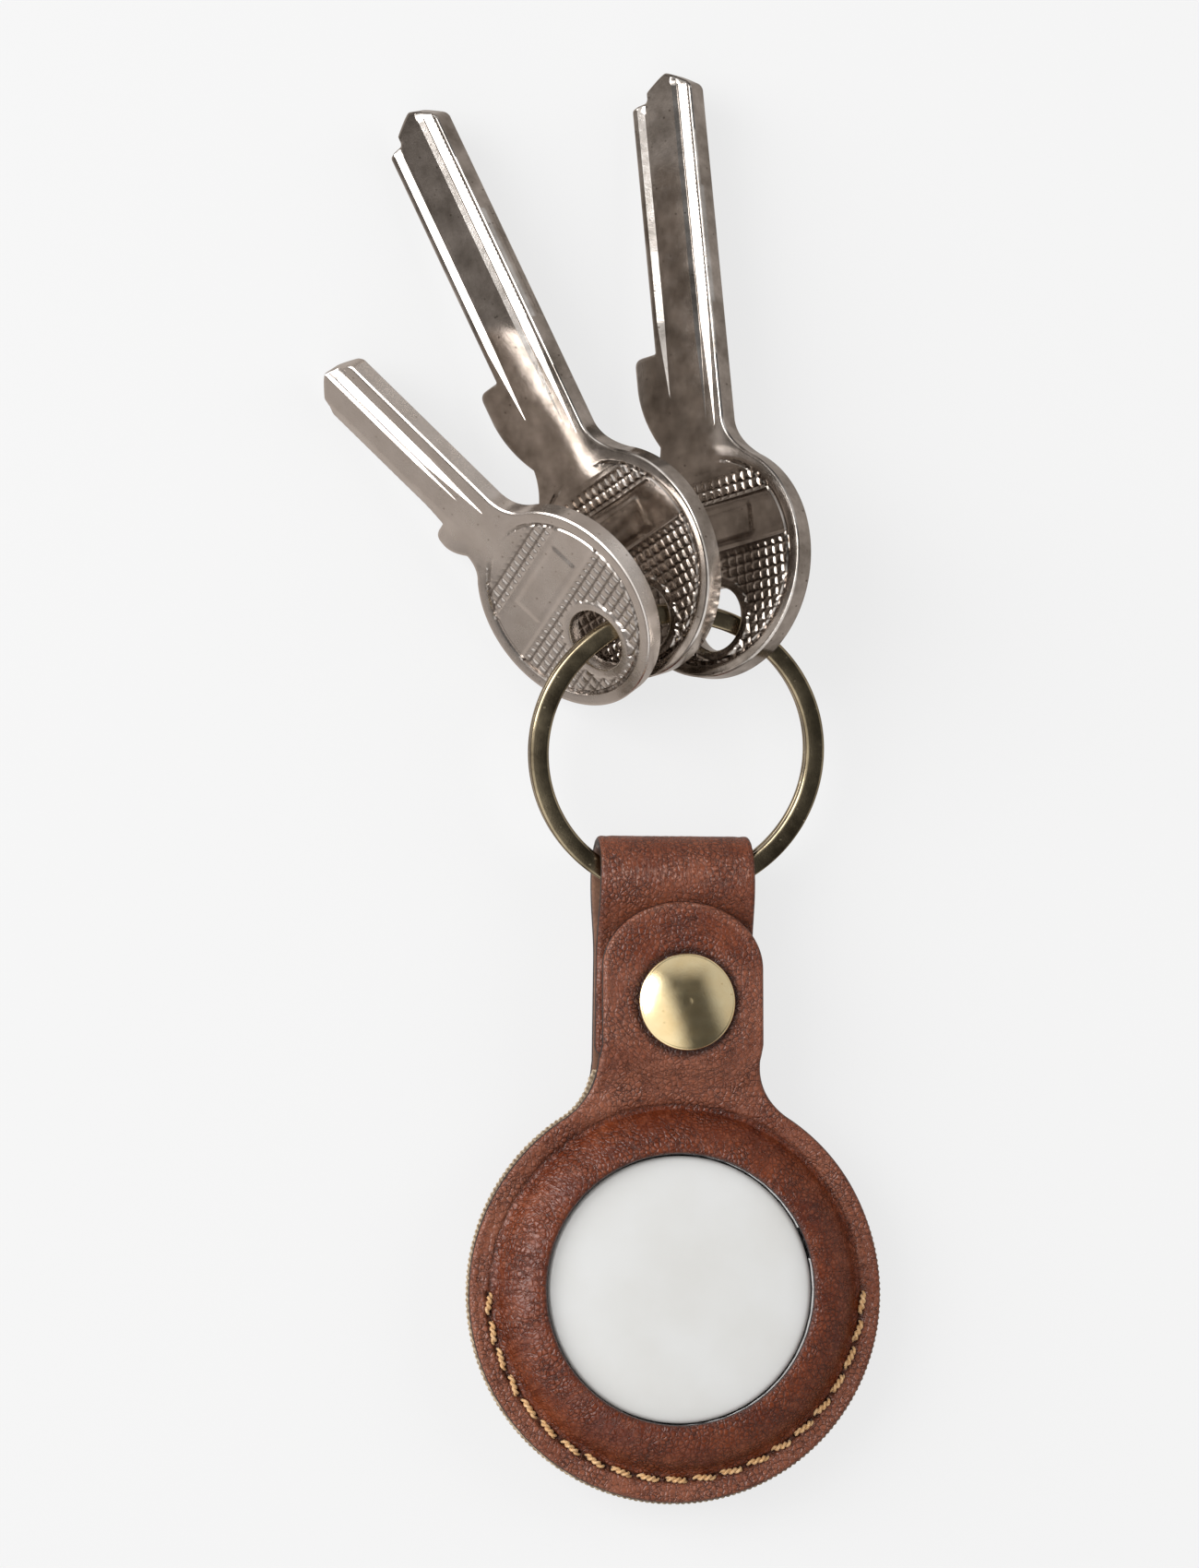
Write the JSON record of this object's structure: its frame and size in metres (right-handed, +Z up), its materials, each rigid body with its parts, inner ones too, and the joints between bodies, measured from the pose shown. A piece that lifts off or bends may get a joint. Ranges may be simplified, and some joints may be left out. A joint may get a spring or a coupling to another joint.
{
  "type": "keychain",
  "caption": "Leather holder for a round tracker tag with a press-stud strap, a split ring through its fold and uncut cylinder keys hung on the ring.",
  "frame": {"origin": "under the middle of the object's box, on the surface that it lies on", "axes": "+Y from the holder to the keys, +Z up out of the holder's front"},
  "size_m": [0.0536, 0.1386, 0.0199],
  "materials": {
    "leather": "tan-brown grained leather with a soft sheen and dark painted edges",
    "lining": "pale raw-edged lining",
    "thread": "waxed golden-tan thread",
    "bright_brass": "polished brass",
    "spring_steel": "drawn steel wire",
    "antique_brass": "polished antique brass with dark patina",
    "nickel": "satin nickel plate",
    "dark_nickel": "bright nickel plate with dark reflections",
    "white_plastic": "glossy white",
    "grey_plastic": "moulded, matte",
    "board": "solder-masked laminate",
    "magnet": "plated magnet",
    "coil_wire": "enamelled copper wire",
    "contact_metal": "gold-plated spring leaf",
    "cover_steel": "mirror-polished steel"
  },
  "bodies": {
    "holder": {"back_panel": "leather", "pocket_lining": "lining", "front_panel": "leather", "seam_thread_front": "thread", "seam_thread_back": "thread", "snap_stud": "bright_brass", "snap_post": "bright_brass"},
    "tab": {"snap_tab": "leather", "snap_cap": "bright_brass", "snap_socket": "bright_brass", "socket_spring": "spring_steel"},
    "ring": {"split_ring": "antique_brass"},
    "small_key": {"key_small": "nickel"},
    "middle_key": {"key_middle": "dark_nickel"},
    "right_key": {"key_right": "dark_nickel"},
    "tracker": {"tracker_shell": "white_plastic", "battery_tray": "grey_plastic", "circuit_board": "board", "speaker_magnet": "magnet", "voice_coil": "coil_wire", "coin_battery": "cover_steel", "center_contact": "contact_metal", "side_contact_a": "contact_metal", "side_contact_b": "contact_metal"},
    "cover": {"battery_cover": "cover_steel"}
  },
  "joints": [
    {"name": "tab_peel", "type": "hinge", "parent": "holder", "child": "tab", "pos_m": [0.0069, -0.03001, 0.0073], "axis": [1, 0, 0], "range_deg": [0, 100]},
    {"name": "ring_swing", "type": "hinge", "parent": "holder", "child": "ring", "pos_m": [0.0069, -0.00941, 0.0058], "axis": [-1, 0, 0], "range_deg": [-120, 120]},
    {"name": "small_key_travel", "type": "hinge", "parent": "ring", "child": "small_key", "pos_m": [0.0069, 0.00262, 0.00836], "axis": [0, -0.2079, 0.9781], "range_deg": [-2, 60]},
    {"name": "middle_key_travel", "type": "hinge", "parent": "ring", "child": "middle_key", "pos_m": [0.0069, 0.00262, 0.00836], "axis": [0, -0.2079, 0.9781], "range_deg": [-14, 3]},
    {"name": "right_key_travel", "type": "hinge", "parent": "ring", "child": "right_key", "pos_m": [0.0069, 0.00262, 0.00836], "axis": [0, -0.2079, 0.9781], "range_deg": [-80, 14]},
    {"name": "tracker_spin", "type": "hinge", "parent": "holder", "child": "tracker", "pos_m": [0.0069, -0.04901, 0.0058], "axis": [0, 0, 1], "continuous": true},
    {"name": "cover_twist", "type": "hinge", "parent": "tracker", "child": "cover", "pos_m": [0.0069, -0.04901, 0.0058], "axis": [0, 0, 1], "range_deg": [0, 20]}
  ]
}
